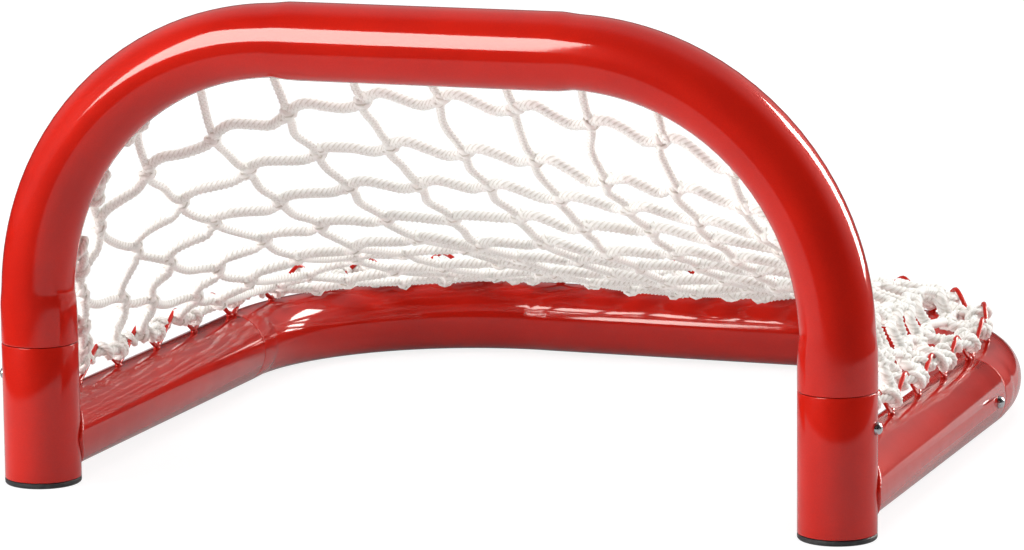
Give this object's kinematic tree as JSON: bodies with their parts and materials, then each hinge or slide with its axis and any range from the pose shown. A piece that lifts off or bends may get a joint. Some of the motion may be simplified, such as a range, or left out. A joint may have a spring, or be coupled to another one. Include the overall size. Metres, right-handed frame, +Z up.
{
  "type": "mini hockey goal",
  "caption": "Mini hockey goal: a bent tube arch and a base loop that slot together with spring buttons, and a knotted cord net laced to zigzag wires.",
  "frame": {"origin": "on the floor, under the middle of the goal's footprint", "axes": "+X to the goal's right as seen from in front of the mouth, +Y from the mouth to the back, +Z up"},
  "size_m": [0.4546, 0.4276, 0.2454],
  "materials": {
    "red_frame": "glossy red powder coat with a slight metallic flake",
    "black_cap": "black moulded plastic",
    "chrome_button": "bright plated steel",
    "leaf_spring": "plain spring steel",
    "net_cord": "white braided cord"
  },
  "bodies": {
    "frame": {"arch_tube": "red_frame", "rear_tube": "red_frame", "left_stub_post": "red_frame", "left_side_tube": "red_frame", "left_weld_bead": "red_frame", "left_foot_cap": "black_cap", "right_stub_post": "red_frame", "right_side_tube": "red_frame", "right_weld_bead": "red_frame", "right_foot_cap": "black_cap", "left_post_leaf_spring": "leaf_spring", "right_post_leaf_spring": "leaf_spring", "left_rear_leaf_spring": "leaf_spring", "right_rear_leaf_spring": "leaf_spring", "arch_lacing_wire": "red_frame", "left_side_lacing_wire": "red_frame", "rear_lacing_wire": "red_frame", "right_side_lacing_wire": "red_frame", "net": "net_cord"},
    "left_post_button": {"left_post_button": "chrome_button"},
    "right_post_button": {"right_post_button": "chrome_button"},
    "left_rear_button": {"left_rear_button": "chrome_button"},
    "right_rear_button": {"right_rear_button": "chrome_button"}
  },
  "joints": [
    {"name": "left_post_button_press", "type": "slide", "parent": "frame", "child": "left_post_button", "axis": [1, 0, 0], "range_m": [0, 0.0048], "stiffness_N_per_m": 2500, "deforming": ["left_post_leaf_spring"]},
    {"name": "right_post_button_press", "type": "slide", "parent": "frame", "child": "right_post_button", "axis": [-1, 0, 0], "range_m": [0, 0.0048], "stiffness_N_per_m": 2500, "deforming": ["right_post_leaf_spring"]},
    {"name": "left_rear_button_press", "type": "slide", "parent": "frame", "child": "left_rear_button", "axis": [1, 0, 0], "range_m": [0, 0.0048], "stiffness_N_per_m": 2500, "deforming": ["left_rear_leaf_spring"]},
    {"name": "right_rear_button_press", "type": "slide", "parent": "frame", "child": "right_rear_button", "axis": [-1, 0, 0], "range_m": [0, 0.0048], "stiffness_N_per_m": 2500, "deforming": ["right_rear_leaf_spring"]}
  ]
}
